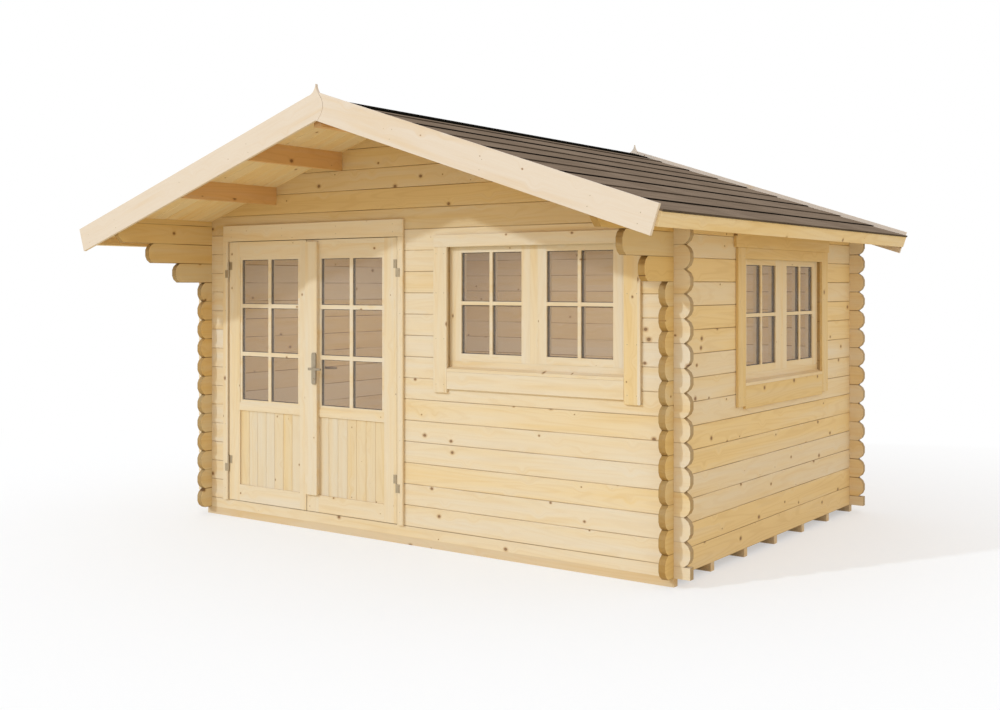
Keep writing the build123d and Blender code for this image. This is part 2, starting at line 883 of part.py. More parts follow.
# Windows: a frame with a post and a sill, two fixed sashes, their panes and the casing
sash_depth = (-sash_setback - sash_thickness, -sash_setback)
pane_depth = (-sash_setback - glass_setback - glass_thickness, -sash_setback - glass_setback)
sash_width = (window_width - 2 * window_jamb - window_post - 4 * window_gap) / 2


def window_frame(plane, span, bottom, top):
    """Jambs, head and post flush with the sashes, and a sill that falls to the outside."""
    rail_top = bottom + window_rail
    rail_bottom = top - window_head
    centre = (span[0] + span[1]) / 2
    inner = grown(span, -window_jamb)
    depth = (-window_frame_depth, -sash_setback)
    upright = (rail_top + seat, rail_bottom - seat)
    slab(plane, grown(span, -seat), (rail_bottom, top - seat), depth)
    slab(plane, (span[0] + seat, inner[0]), upright, depth)
    slab(plane, (inner[1], span[1] - seat), upright, depth)
    slab(plane, (centre - window_post / 2, centre + window_post / 2), upright, depth)
    slab(plane, grown(span, -seat), (bottom + seat, rail_top), depth)
    sill_end = plane.from_local_coords((span[1] - seat, 0, 0))
    with BuildSketch(Plane(origin=sill_end, x_dir=plane.z_dir, z_dir=-plane.x_dir)) as sill:
        Polygon(
            (-sash_setback, bottom + seat),
            (casing_face[1], bottom + seat),
            (casing_face[1], bottom + sill_nose),
            (-sash_setback, bottom + sill_rise),
            align=None,
        )
    extrude(sill.sketch, amount=window_width - 2 * seat)


def sash_spans(span, bottom):
    """Where the two sashes stand along the wall and up it."""
    centre = (span[0] + span[1]) / 2
    low = bottom + window_rail + window_gap
    spans = []
    for side in (-1, 1):
        near = centre + side * (window_post / 2 + window_gap)
        spans.append((tuple(sorted((near, near + side * sash_width))), (low, low + sash_height)))
    return spans


def window_sashes(plane, span, bottom):
    """Two sashes with a cross of bars on each face of the pane."""
    for u_span, v_span in sash_spans(span, bottom):
        light_u = grown(u_span, -sash_stile)
        light_v = grown(v_span, -sash_rail)
        with BuildSketch(plane.offset(sash_depth[0])) as face:
            bar_face(u_span, v_span)
            panes(light_u, light_v, 2, 2, sash_bar, sash_bar)
        extrude(face.sketch, amount=sash_thickness)
        pocket = grown(pane_depth, seat)
        slab(plane, grown(light_u, glass_edge + seat), grown(light_v, glass_edge + seat), pocket, Mode.SUBTRACT)


def window_glass(plane, span, bottom):
    """The pane of each sash."""
    for u_span, v_span in sash_spans(span, bottom):
        edge = glass_edge
        slab(plane, grown(u_span, edge - sash_stile), grown(v_span, edge - sash_rail), pane_depth)


def window_casing(plane, span, bottom, top, drops, head):
    """Boards up both sides, one or two head boards and an apron under the sill."""
    casing_drop, apron_drop = drops
    inner_head, head_height, head_overhang = head
    head_bottom = top - head_lip
    side_top = head_bottom + inner_head
    outer = grown(span, window_casing_width)
    slab(plane, (outer[0], span[0]), (bottom - casing_drop, side_top - seat), casing_face)
    slab(plane, (span[1], outer[1]), (bottom - casing_drop, side_top - seat), casing_face)
    if inner_head > 0:
        slab(plane, grown(span, -seat), (head_bottom, side_top - seat), casing_face)
    slab(plane, grown(outer, head_overhang), (side_top, side_top + head_height), casing_face)
    slab(plane, grown(span, -seat), (bottom - apron_drop, bottom), casing_face)


front_drops = (front_casing_drop, front_apron_drop)
front_head = (0, front_head_height, 0)
side_drops = (side_casing_drop, side_apron_drop)
side_head = (side_inner_head, side_head_height, side_head_overhang)

with BuildPart() as front_window_frame:
    window_frame(front_wall_plane, front_window_span, front_window_bottom, front_window_top)

with BuildPart() as front_window_sashes:
    window_sashes(front_wall_plane, front_window_span, front_window_bottom)

with BuildPart() as front_window_glass:
    window_glass(front_wall_plane, front_window_span, front_window_bottom)

with BuildPart() as front_window_casing:
    window_casing(
        front_wall_plane, front_window_span, front_window_bottom, front_window_top, front_drops, front_head
    )

with BuildPart() as right_window_frame:
    window_frame(right_wall_plane, side_window_span, side_window_bottom, side_window_top)

with BuildPart() as right_window_sashes:
    window_sashes(right_wall_plane, side_window_span, side_window_bottom)

with BuildPart() as right_window_glass:
    window_glass(right_wall_plane, side_window_span, side_window_bottom)

with BuildPart() as right_window_casing:
    window_casing(
        right_wall_plane, side_window_span, side_window_bottom, side_window_top, side_drops, side_head
    )

# Names and files
os.makedirs("parts", exist_ok=True)
floor_bearers.part.label = "floor_bearers"
export_step(floor_bearers.part, "parts/floor_bearers.step")
floor_boards.part.label = "floor_boards"
export_step(floor_boards.part, "parts/floor_boards.step")
front_sill_log.part.label = "front_sill_log"
export_step(front_sill_log.part, "parts/front_sill_log.step")
front_wall_left.part.label = "front_wall_left"
export_step(front_wall_left.part, "parts/front_wall_left.step")
front_wall_right.part.label = "front_wall_right"
export_step(front_wall_right.part, "parts/front_wall_right.step")
front_gable.part.label = "front_gable"
export_step(front_gable.part, "parts/front_gable.step")
back_wall.part.label = "back_wall"
export_step(back_wall.part, "parts/back_wall.step")
back_gable.part.label = "back_gable"
export_step(back_gable.part, "parts/back_gable.step")
left_wall.part.label = "left_wall"
export_step(left_wall.part, "parts/left_wall.step")
right_wall.part.label = "right_wall"
export_step(right_wall.part, "parts/right_wall.step")
ridge_beam.part.label = "ridge_beam"
export_step(ridge_beam.part, "parts/ridge_beam.step")
purlins.part.label = "purlins"
export_step(purlins.part, "parts/purlins.step")
left_roof_boards.part.label = "left_roof_boards"
export_step(left_roof_boards.part, "parts/left_roof_boards.step")
right_roof_boards.part.label = "right_roof_boards"
export_step(right_roof_boards.part, "parts/right_roof_boards.step")
left_shingles.part.label = "left_shingles"
export_step(left_shingles.part, "parts/left_shingles.step")
right_shingles.part.label = "right_shingles"
export_step(right_shingles.part, "parts/right_shingles.step")
ridge_cap.part.label = "ridge_cap"
export_step(ridge_cap.part, "parts/ridge_cap.step")
front_left_bargeboard.part.label = "front_left_bargeboard"
export_step(front_left_bargeboard.part, "parts/front_left_bargeboard.step")
front_right_bargeboard.part.label = "front_right_bargeboard"
export_step(front_right_bargeboard.part, "parts/front_right_bargeboard.step")
back_left_bargeboard.part.label = "back_left_bargeboard"
export_step(back_left_bargeboard.part, "parts/back_left_bargeboard.step")
back_right_bargeboard.part.label = "back_right_bargeboard"
export_step(back_right_bargeboard.part, "parts/back_right_bargeboard.step")
eave_fascias.part.label = "eave_fascias"
export_step(eave_fascias.part, "parts/eave_fascias.step")
door_frame.part.label = "door_frame"
export_step(door_frame.part, "parts/door_frame.step")
door_casing.part.label = "door_casing"
export_step(door_casing.part, "parts/door_casing.step")
left_door_leaf.part.label = "left_door_leaf"
export_step(left_door_leaf.part, "parts/left_door_leaf.step")
left_door_panel.part.label = "left_door_panel"
export_step(left_door_panel.part, "parts/left_door_panel.step")
left_door_glass.part.label = "left_door_glass"
export_step(left_door_glass.part, "parts/left_door_glass.step")
right_door_leaf.part.label = "right_door_leaf"
export_step(right_door_leaf.part, "parts/right_door_leaf.step")
right_door_panel.part.label = "right_door_panel"
export_step(right_door_panel.part, "parts/right_door_panel.step")
right_door_glass.part.label = "right_door_glass"
export_step(right_door_glass.part, "parts/right_door_glass.step")
handle_plates.part.label = "handle_plates"
export_step(handle_plates.part, "parts/handle_plates.step")
door_lever.part.label = "door_lever"
export_step(door_lever.part, "parts/door_lever.step")
door_hinges.part.label = "door_hinges"
export_step(door_hinges.part, "parts/door_hinges.step")
left_door_hinges.part.label = "left_door_hinges"
export_step(left_door_hinges.part, "parts/left_door_hinges.step")
right_door_hinges.part.label = "right_door_hinges"
export_step(right_door_hinges.part, "parts/right_door_hinges.step")
front_window_frame.part.label = "front_window_frame"
export_step(front_window_frame.part, "parts/front_window_frame.step")
front_window_sashes.part.label = "front_window_sashes"
export_step(front_window_sashes.part, "parts/front_window_sashes.step")
front_window_glass.part.label = "front_window_glass"
export_step(front_window_glass.part, "parts/front_window_glass.step")
front_window_casing.part.label = "front_window_casing"
export_step(front_window_casing.part, "parts/front_window_casing.step")
right_window_frame.part.label = "right_window_frame"
export_step(right_window_frame.part, "parts/right_window_frame.step")
right_window_sashes.part.label = "right_window_sashes"
export_step(right_window_sashes.part, "parts/right_window_sashes.step")
right_window_glass.part.label = "right_window_glass"
export_step(right_window_glass.part, "parts/right_window_glass.step")
right_window_casing.part.label = "right_window_casing"
export_step(right_window_casing.part, "parts/right_window_casing.step")
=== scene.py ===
import bmesh
import bpy
import math
from mathutils import Matrix, Vector


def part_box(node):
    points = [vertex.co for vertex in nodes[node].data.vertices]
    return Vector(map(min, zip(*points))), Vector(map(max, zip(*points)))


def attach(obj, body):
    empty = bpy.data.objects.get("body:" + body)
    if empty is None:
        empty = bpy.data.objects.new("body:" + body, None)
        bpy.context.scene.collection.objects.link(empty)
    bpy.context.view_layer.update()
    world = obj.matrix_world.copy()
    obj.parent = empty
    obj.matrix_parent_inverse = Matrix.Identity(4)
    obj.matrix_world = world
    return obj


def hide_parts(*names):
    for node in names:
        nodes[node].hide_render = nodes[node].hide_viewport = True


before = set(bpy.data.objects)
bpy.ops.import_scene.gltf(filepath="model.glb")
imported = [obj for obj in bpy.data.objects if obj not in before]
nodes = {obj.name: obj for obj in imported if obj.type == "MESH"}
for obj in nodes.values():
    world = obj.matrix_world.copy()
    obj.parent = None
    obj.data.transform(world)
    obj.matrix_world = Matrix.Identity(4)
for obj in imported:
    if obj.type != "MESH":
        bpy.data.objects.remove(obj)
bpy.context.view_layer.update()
print("frame loaded:", len(nodes), "nodes")


# helpers for objects and node materials
def newObject(name, data):
    thing = bpy.data.objects.new(name, data)
    bpy.context.scene.collection.objects.link(thing)
    return thing


def meshObject(name, bm, material):
    mesh = bpy.data.meshes.new(name)
    bm.to_mesh(mesh)
    bm.free()
    mesh.materials.append(material)
    return newObject(name, mesh)


def newMaterial(name):
    material = bpy.data.materials.new(name)
    material.use_nodes = True
    tree = material.node_tree
    tree.nodes.clear()
    out = tree.nodes.new("ShaderNodeOutputMaterial")
    shader = tree.nodes.new("ShaderNodeBsdfPrincipled")
    tree.links.new(shader.outputs[0], out.inputs["Surface"])
    return material, tree, shader


def feed(tree, socket, value):
    # a socket takes another node's output or a plain value
    if isinstance(value, bpy.types.NodeSocket):
        tree.links.new(value, socket)
    else:
        socket.default_value = value


def calc(tree, operation, first, second=0.0, third=0.0, clamp=False):
    step = tree.nodes.new("ShaderNodeMath")
    step.operation = operation
    step.use_clamp = clamp
    for socket, value in zip(step.inputs, (first, second, third)):
        feed(tree, socket, value)
    return step.outputs[0]


def combine(tree, x, y, z):
    joined = tree.nodes.new("ShaderNodeCombineXYZ")
    for socket, value in zip(joined.inputs, (x, y, z)):
        feed(tree, socket, value)
    return joined.outputs[0]


def rise(tree, value, low, high, bottom=0.0, top=1.0):
    # a smooth step from bottom at low to top at high
    step = tree.nodes.new("ShaderNodeMapRange")
    step.interpolation_type = "SMOOTHSTEP"
    feed(tree, step.inputs["Value"], value)
    feed(tree, step.inputs["From Min"], low)
    feed(tree, step.inputs["From Max"], high)
    feed(tree, step.inputs["To Min"], bottom)
    feed(tree, step.inputs["To Max"], top)
    return step.outputs[0]


def noise(tree, vector, scale, detail=2.0, rough=0.5):
    cloud = tree.nodes.new("ShaderNodeTexNoise")
    feed(tree, cloud.inputs["Vector"], vector)
    cloud.inputs["Scale"].default_value = scale
    cloud.inputs["Detail"].default_value = detail
    cloud.inputs["Roughness"].default_value = rough
    return cloud.outputs["Fac"]


def blendColour(tree, factor, first, second, kind="MIX"):
    mix = tree.nodes.new("ShaderNodeMix")
    mix.data_type = "RGBA"
    mix.blend_type = kind
    feed(tree, mix.inputs[0], factor)
    feed(tree, mix.inputs[6], first)
    feed(tree, mix.inputs[7], second)
    return mix.outputs[2]


def objectPlace(tree, output="Object"):
    coordinate = tree.nodes.new("ShaderNodeTexCoord")
    split = tree.nodes.new("ShaderNodeSeparateXYZ")
    tree.links.new(coordinate.outputs[output], split.inputs[0])
    return split.outputs[0], split.outputs[1], split.outputs[2]


def colourParts(tree, colour):
    split = tree.nodes.new("ShaderNodeSeparateColor")
    tree.links.new(colour, split.inputs[0])
    return split.outputs


def chanceNode(tree, dimensions, socketName, value):
    # random numbers, the same ones for the same value
    chance = tree.nodes.new("ShaderNodeTexWhiteNoise")
    chance.noise_dimensions = dimensions
    feed(tree, chance.inputs[socketName], value)
    return chance


def layer(tree, colour, over, mask, share):
    # one colour laid over another where the mask is 1, as strong as its share
    return blendColour(tree, calc(tree, "MULTIPLY", mask, share), colour, over)


def addBump(tree, shader, height, strength, distance):
    bump = tree.nodes.new("ShaderNodeBump")
    bump.inputs["Strength"].default_value = strength
    bump.inputs["Distance"].default_value = distance
    tree.links.new(height, bump.inputs["Height"])
    tree.links.new(bump.outputs[0], shader.inputs["Normal"])


# camera
view = {
    "place": (4.904, -6.878, 1.621),
    "turn": 35.674,  # degrees from the door front towards its right end
    "lens": 43.63,
    "sensor": 36.0,
    "shiftY": -0.0688,
}


def makeCamera():
    data = bpy.data.cameras.new("camera")
    data.lens = view["lens"]
    data.sensor_width = view["sensor"]
    data.shift_y = view["shiftY"]
    camera = newObject("camera", data)
    camera.location = view["place"]
    camera.rotation_euler = (math.radians(90), 0, math.radians(view["turn"]))
    bpy.context.scene.camera = camera


makeCamera()
print("camera placed")


# light and floor
light = {
    "sunWay": (0.44, 0.81, -0.522),
    "sunStrength": 1.33,
    "sunColour": (0.72, 0.87, 1.0),
    "sunAngle": 2.0,
    "skyColour": (1.0, 0.985, 0.975),
    "skyStrength": 0.94,
    "backColour": (1, 1, 1),  # what the camera sees behind the house
    "roomPlace": (0.0, 0.3, 2.0),  # a soft lamp behind the panes, itself unseen
    "roomSize": (2.6, 1.8),
    "roomPower": 24.0,
    "roomColour": (0.94, 0.93, 0.86),
    "floorSize": 60.0,
    "floorColour": (0.92, 0.92, 0.925, 1),
    "bounceColour": (0.90, 0.81, 0.56, 1),  # what the floor throws back onto the timber
    "shadowReach": (2.2, 7.5),  # the shadow on the floor fades out between these distances
    "shadowLift": 0.45,  # how much of the back colour lies over the shadow near the house
}


def makeSun():
    data = bpy.data.lights.new("sun", "SUN")
    data.energy = light["sunStrength"]
    data.color = light["sunColour"]
    data.angle = math.radians(light["sunAngle"])
    sun = newObject("sun", data)
    sun.rotation_euler = Vector(light["sunWay"]).to_track_quat("-Z", "Y").to_euler()


def makeRoomLight():
    data = bpy.data.lights.new("roomLight", "AREA")
    data.shape = "RECTANGLE"
    data.size, data.size_y = light["roomSize"]
    data.energy = light["roomPower"]
    data.color = light["roomColour"]
    room = newObject("roomLight", data)
    room.location = light["roomPlace"]
    room.visible_camera = False
    room.visible_glossy = False
    room.visible_transmission = False


def glow(tree, kind, colour, strength=1.0):
    node = tree.nodes.new(kind)
    node.inputs["Color"].default_value = (*colour, 1)
    node.inputs["Strength"].default_value = strength
    return node.outputs[0]


def seenRay(tree):
    # 1 for rays that show the background: from the camera, off metal and through glass
    path = tree.nodes.new("ShaderNodeLightPath")
    direct = calc(tree, "MAXIMUM", path.outputs["Is Camera Ray"], path.outputs["Is Glossy Ray"])
    return calc(tree, "MAXIMUM", direct, path.outputs["Is Transmission Ray"])


def mixShaders(tree, share, first, second, out):
    mix = tree.nodes.new("ShaderNodeMixShader")
    for value, socket in zip((share, first, second), mix.inputs):
        tree.links.new(value, socket)
    tree.links.new(mix.outputs[0], out.inputs["Surface"])


def makeSky():
    world = bpy.data.worlds.new("sky")
    bpy.context.scene.world = world
    world.use_nodes = True
    tree = world.node_tree
    tree.nodes.clear()
    out = tree.nodes.new("ShaderNodeOutputWorld")
    sky = glow(tree, "ShaderNodeBackground", light["skyColour"], light["skyStrength"])
    back = glow(tree, "ShaderNodeBackground", light["backColour"])
    mixShaders(tree, seenRay(tree), sky, back, out)


def floorMaterial():
    # matt with a soft shadow near the house, farther off the same as the background
    material = bpy.data.materials.new("paleFloor")
    material.use_nodes = True
    tree = material.node_tree
    tree.nodes.clear()
    out = tree.nodes.new("ShaderNodeOutputMaterial")
    matt = tree.nodes.new("ShaderNodeBsdfDiffuse")
    path = tree.nodes.new("ShaderNodeLightPath")
    shade = blendColour(tree, path.outputs["Is Diffuse Ray"], light["floorColour"], light["bounceColour"])
    tree.links.new(shade, matt.inputs["Color"])
    back = glow(tree, "ShaderNodeEmission", light["backColour"])
    coordinate = tree.nodes.new("ShaderNodeTexCoord")
    length = tree.nodes.new("ShaderNodeVectorMath")
    length.operation = "LENGTH"
    tree.links.new(coordinate.outputs["Object"], length.inputs[0])
    low, high = light["shadowReach"]
    fade = rise(tree, length.outputs["Value"], low, high, light["shadowLift"], 1.0)
    mixShaders(tree, calc(tree, "MULTIPLY", fade, seenRay(tree)), matt.outputs[0], back, out)
    return material


def makeFloor():
    bm = bmesh.new()
    bmesh.ops.create_grid(bm, x_segments=1, y_segments=1, size=light["floorSize"] / 2)
    floor = meshObject("floor", bm, floorMaterial())


makeSun()
makeRoomLight()
makeSky()
makeFloor()
print("light and floor ready")


# the roof's slope in the frame
roof = {
    "pitch": math.radians(18.2),
    "ridge": 2.680,
    "reach": 1.8397,  # the boards' ends, front and back
    "boards": 38,
}


def slopeSockets(tree, x, z, side):
    # along the slope and square to it
    pitch = roof["pitch"]
    down = calc(tree, "SUBTRACT", calc(tree, "MULTIPLY", x, side * math.cos(pitch)),
                calc(tree, "MULTIPLY", z, math.sin(pitch)))
    out = calc(tree, "ADD", calc(tree, "MULTIPLY", x, side * math.sin(pitch)),
               calc(tree, "MULTIPLY", z, math.cos(pitch)))
    return down, out


# pine
pine = {
    "pale": (0.735, 0.63, 0.495, 1),
    "golden": (0.775, 0.565, 0.28, 1),
    "streak": (0.60, 0.38, 0.155, 1),
    "knot": (0.16, 0.075, 0.032, 1),
    "knotEdge": (0.46, 0.25, 0.09, 1),
    "endTint": (0.56, 0.48, 0.36, 1),
    "joint": (0.24, 0.13, 0.05, 1),
    "shift": (37.0, 9.0, 5.0),  # the most a board's pattern is moved along, into and across
    "drift": 1.3,  # how far one board goes from pale to golden along its length
    "knotSpacing": 0.18,
    "knotSize": 0.085,
    "knotStretch": 0.8,  # below 1 makes knots longer than wide
    "knotWobble": 0.02,
    "knotShare": 0.75,
    "knotEdgeShare": 0.5,
    "bend": 0.03,  # how far growth lines bend round a knot
    "bendReach": 0.28,
    "ringScale": 7.0,
    "ringWaves": 95.0,
    "ringShare": (0.05, 0.15),  # on pale boards, and what golden ones add
    "fineScale": 260.0,
    "fineShare": 0.16,
    "broadScale": 14.0,
    "broadShare": 0.2,
    "specular": 0.25,
    "bumpStrength": 0.25,
    "bumpDepth": 0.0006,
    "corner": -1.040,  # the front wall's face: the side logs reach out past it
}


def grainPlace(tree, way, place):
    # (along the grain, across the face, into the timber) for one direction of grain
    x, y, z = place
    if way == "x":
        return x, z, y
    if way == "y":
        return y, z, x
    if way == "z":
        return z, x, y
    if way == "zSide":
        return z, y, x
    if way == "yFlat":
        return y, x, z
    side = 1 if way.startswith("right") else -1
    down, out = slopeSockets(tree, x, z, side)
    if way.endswith("Roof"):
        return down, y, out
    return down, out, y


def knotSockets(tree, along, across, knots):
    # the dark heart and the ring of each knot, and how far it bends the growth lines
    knotPlace = combine(tree, calc(tree, "MULTIPLY", along, pine["knotStretch"]), across, 0.0)
    cells = tree.nodes.new("ShaderNodeTexVoronoi")
    cells.voronoi_dimensions = "2D"
    feed(tree, cells.inputs["Vector"], knotPlace)
    cells.inputs["Scale"].default_value = 1 / pine["knotSpacing"]
    luck = colourParts(tree, cells.outputs["Color"])[0]
    size = calc(tree, "MULTIPLY", rise(tree, luck, 0.42, 1.0), pine["knotSize"] * knots)
    uneven = calc(tree, "SUBTRACT", noise(tree, knotPlace, 60.0, 1.0), 0.5)
    far = calc(tree, "ADD", cells.outputs["Distance"], calc(tree, "MULTIPLY", uneven, pine["knotWobble"]))
    reach = calc(tree, "DIVIDE", far, calc(tree, "ADD", size, 0.0001))
    heart = calc(tree, "SUBTRACT", 1.0, rise(tree, reach, 0.5, 0.8))
    ring = calc(tree, "SUBTRACT", 1.0, rise(tree, reach, 0.75, 1.5))
    near = calc(tree, "SUBTRACT", 1.0, rise(tree, far, 0.0, pine["bendReach"]))
    return heart, ring, calc(tree, "MULTIPLY", near, pine["bend"])


def stretchedNoise(tree, place, alongScale, acrossScale, detail, rough):
    # a cloud drawn out along the grain
    along, across, deep = place
    vector = combine(tree, calc(tree, "MULTIPLY", along, alongScale), calc(tree, "MULTIPLY", across, acrossScale),
                     calc(tree, "MULTIPLY", deep, acrossScale))
    return noise(tree, vector, 1.0, detail, rough)


def goldenSocket(tree, look, board, luck, broad):
    # some boards are pale sapwood, others golden
    golden = look.get("golden", 0.35)
    for number in look.get("goldenBoards", ()):
        chosen = calc(tree, "COMPARE", board, number, 0.5)
        golden = calc(tree, "ADD", golden, calc(tree, "MULTIPLY", chosen, look.get("goldenShare", 0.4)))
    spread = calc(tree, "MULTIPLY", calc(tree, "SUBTRACT", luck, 0.5), look.get("spread", 0.5))
    golden = calc(tree, "ADD", golden, spread)
    drift = calc(tree, "MULTIPLY", calc(tree, "SUBTRACT", broad, 0.5), pine["drift"])
    return calc(tree, "ADD", golden, drift, clamp=True)


def pineGrain(tree, place, look, step, start, seed):
    # colour and height of planed pine; each board of width step differs
    along, across, depth = place
    board = calc(tree, "FLOOR", calc(tree, "DIVIDE", calc(tree, "SUBTRACT", across, start), step))
    chance = chanceNode(tree, "1D", "W", calc(tree, "ADD", board, seed))
    lucks = colourParts(tree, chance.outputs["Color"])
    shifts = [calc(tree, "MULTIPLY", luck, most) for luck, most in zip(lucks, pine["shift"])]
    shifted = calc(tree, "ADD", along, shifts[0])
    deep = calc(tree, "ADD", depth, shifts[1])
    knotAcross = calc(tree, "ADD", across, shifts[2])
    heart, ring, bend = knotSockets(tree, shifted, knotAcross, look.get("knots", 1.0))
    grain = (shifted, calc(tree, "ADD", across, bend), deep)
    rings = stretchedNoise(tree, grain, 0.55, pine["ringScale"], 1.5, 0.45)
    lines = rise(tree, calc(tree, "SINE", calc(tree, "MULTIPLY", rings, pine["ringWaves"])), 0.1, 1.0)
    fine = stretchedNoise(tree, grain, 3.0, pine["fineScale"], 3.0, 0.6)
    broad = stretchedNoise(tree, grain, 0.9, pine["broadScale"], 2.0, 0.5)
    golden = goldenSocket(tree, look, board, lucks[0], broad)
    least, added = pine["ringShare"]
    lineShare = calc(tree, "ADD", least, calc(tree, "MULTIPLY", golden, added))
    colour = blendColour(tree, golden, pine["pale"], pine["golden"])
    colour = layer(tree, colour, pine["streak"], rise(tree, broad, 0.5, 0.8), pine["broadShare"])
    colour = layer(tree, colour, pine["streak"], lines, lineShare)
    colour = layer(tree, colour, pine["streak"], rise(tree, fine, 0.45, 0.8), pine["fineShare"])
    colour = layer(tree, colour, pine["knotEdge"], ring, pine["knotEdgeShare"])
    colour = layer(tree, colour, pine["knot"], heart, pine["knotShare"])
    height = calc(tree, "SUBTRACT", calc(tree, "MULTIPLY", fine, 0.5), calc(tree, "MULTIPLY", lines, 0.3))
    return colour, height


def inSpan(tree, value, span):
    above = calc(tree, "GREATER_THAN", value, span[0])
    below = calc(tree, "LESS_THAN", value, span[1])
    return calc(tree, "MULTIPLY", above, below)


def addStrips(tree, place, look, colour, height):
    # boards that run the other way, inside the spans of the look's strips
    other, otherHeight = pineGrain(tree, grainPlace(tree, look["stripWay"], place), look, look["stripStep"],
                                   look["stripStart"], look["seed"] + 50.5)
    along = place[0] if look["stripWay"] == "z" else place[1]
    mask = 0.0
    for span in look["strips"]:
        mask = calc(tree, "ADD", inSpan(tree, along, span), mask, clamp=True)
    if "stripHeights" in look:
        mask = calc(tree, "MULTIPLY", mask, inSpan(tree, place[2], look["stripHeights"]))
    blended = tree.nodes.new("ShaderNodeMix")
    feed(tree, blended.inputs[0], mask)
    feed(tree, blended.inputs[2], height)
    feed(tree, blended.inputs[3], otherHeight)
    return blendColour(tree, mask, colour, other), blended.outputs[0]


def addJoints(tree, place, look, colour):
    # a dark line between boards, tight in some places and open in others
    axis = place[2] if look["way"] in ("x", "y") else place[1]
    turn = calc(tree, "FRACT", calc(tree, "DIVIDE", calc(tree, "SUBTRACT", axis, look["start"]), look["step"]))
    edge = calc(tree, "SUBTRACT", 0.5, calc(tree, "ABSOLUTE", calc(tree, "SUBTRACT", turn, 0.5)))
    near = calc(tree, "MULTIPLY", edge, look["step"])
    width = look["jointWidth"]
    dark = calc(tree, "SUBTRACT", 1.0, rise(tree, near, width * 0.35, width))
    run = combine(tree, calc(tree, "ADD", place[0], place[1]), calc(tree, "MULTIPLY", place[2], 9.0), look["seed"])
    gap = rise(tree, noise(tree, run, 1.7, 2.0), 0.38, 0.55, 0.35, 1.0)
    dark = calc(tree, "MULTIPLY", dark, calc(tree, "MULTIPLY", gap, look.get("jointDark", 0.7)))
    return blendColour(tree, dark, colour, pine["joint"])


def pineMaterial(name, look):
    # look: grain way, width and start of the boards, seed, tone, knots, joints, end grain and tints;
    # strips are boards that run the other way
    material, tree, shader = newMaterial(name)
    place = objectPlace(tree)
    colour, height = pineGrain(tree, grainPlace(tree, look["way"], place), look, look["step"], look["start"],
                               look["seed"])
    if "strips" in look:
        colour, height = addStrips(tree, place, look, colour, height)
    if "jointWidth" in look:
        colour = addJoints(tree, place, look, colour)
    if "ends" in look:
        # end grain is darker: faces that look along the grain
        facing = objectPlace(tree, "Normal")
        square = calc(tree, "ABSOLUTE", facing[look["ends"]])
        colour = blendColour(tree, rise(tree, square, 0.1, 0.7), colour, pine["endTint"], "MULTIPLY")
    if "cornerShadeTint" in look:
        # painted shade: logs that reach out past the front wall's face are darkened, as if in the shade of the corner
        out = calc(tree, "LESS_THAN", place[1], pine["corner"])
        colour = blendColour(tree, out, colour, look["cornerShadeTint"], "MULTIPLY")
    if "tint" in look:
        colour = blendColour(tree, 1.0, colour, look["tint"], "MULTIPLY")
    tree.links.new(colour, shader.inputs["Base Color"])
    shader.inputs["Roughness"].default_value = look.get("rough", 0.62)
    shader.inputs["Specular IOR Level"].default_value = pine["specular"]
    addBump(tree, shader, height, pine["bumpStrength"], pine["bumpDepth"])
    return material


# one log or board of each look: a step of 9.0 leaves the piece undivided
course = 0.133
frontStart = 0.1165 - course  # front and back logs lie half a course off the side logs
sideStart = 0.05
boardPitch = 2 * roof["reach"] / roof["boards"]
leafStrips = {
    "left": ((-1.6280, -1.5230), (-0.9355, -0.8755)),
    "right": ((-0.8685, -0.7615), (-0.1870, -0.0820)),
}
unevenLogs = {"step": course, "jointWidth": 0.004, "golden": 0.45, "spread": 0.8, "jointDark": 1.0}
roofBoards = {"step": boardPitch, "start": -roof["reach"], "jointWidth": 0.003, "golden": 0.1, "jointDark": 0.4,
              "knots": 0.7, "tint": (1.05, 0.98, 0.80, 1)}
barge = {"step": 9.0, "start": -5.0, "knots": 0.35, "golden": -0.1, "spread": 0.0, "tint": (0.97, 0.95, 1.0, 1)}
leaf = {"way": "x", "step": 0.36, "start": 0.1, "stripWay": "z", "stripStep": 0.38, "knots": 0.6, "golden": 0.3,
        "spread": 0.2}
panel = {"way": "z", "knots": 0.5, "golden": 0.35, "spread": 0.9, "jointWidth": 0.003, "jointDark": 0.45,
         "tint": (0.96, 0.95, 0.92, 1)}
